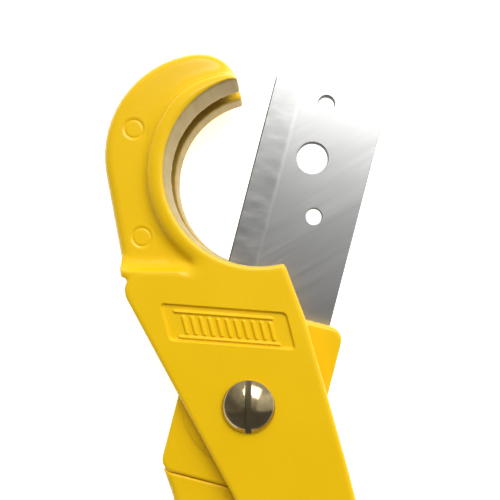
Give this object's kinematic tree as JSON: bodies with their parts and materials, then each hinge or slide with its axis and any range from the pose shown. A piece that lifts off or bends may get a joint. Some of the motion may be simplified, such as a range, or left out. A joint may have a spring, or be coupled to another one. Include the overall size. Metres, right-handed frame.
{
  "type": "pipe cutter",
  "caption": "Hand-held scissor-type cutter for plastic pipe, with a hooked jaw, a wide flat blade, two handles, a return spring and a handle lock.",
  "frame": {"origin": "on the pivot axis, in the plane of the rear face, on the flat head of the barrel nut", "axes": "+Z out of the front face, +Y from the pivot towards the jaw's tip, +X to the open side of the jaw, where the blade is"},
  "size_m": [0.105, 0.2273, 0.0269],
  "materials": {
    "powder_coat": "glossy powder coat",
    "lever_coat": "glossy powder coat",
    "blade_steel": "ground",
    "pivot_metal": "polished nickel plate",
    "fastener_steel": "zinc plate",
    "washer_steel": "plain",
    "pin_steel": "turned",
    "lock_steel": "zinc plate",
    "spring_steel": "drawn wire, oiled"
  },
  "bodies": {
    "body": {"body_casting": "powder_coat", "pivot_barrel_nut": "pivot_metal", "pivot_screw": "pivot_metal", "rear_thrust_washer": "washer_steel", "front_thrust_washer": "washer_steel", "closing_stop_pin": "pin_steel"},
    "lever": {"lever_casting": "lever_coat", "blade_clamp_block": "lever_coat", "blade": "blade_steel", "pivot_wave_washer": "spring_steel", "clamp_screw_upper": "fastener_steel", "clamp_screw_lower": "fastener_steel", "clamp_nut_upper": "fastener_steel", "clamp_nut_lower": "fastener_steel", "catch_pin": "pin_steel", "return_spring": "spring_steel"},
    "lock": {"lock_hook": "lock_steel", "lock_rivet": "pivot_metal", "lock_spacer_rear": "washer_steel", "lock_spacer_front": "washer_steel"}
  },
  "joints": [
    {"name": "lever_pivot", "type": "hinge", "parent": "body", "child": "lever", "pos_m": [0, 0, 0], "axis": [0, 0, 1], "range_deg": [-34, 21.5], "stiffness_Nm_per_rad": 1.5, "deforming": ["return_spring"]},
    {"name": "lock_pivot", "type": "hinge", "parent": "body", "child": "lock", "pos_m": [0.0446, -0.1178, 0], "axis": [0, 0, 1], "range_deg": [0, 76]}
  ]
}
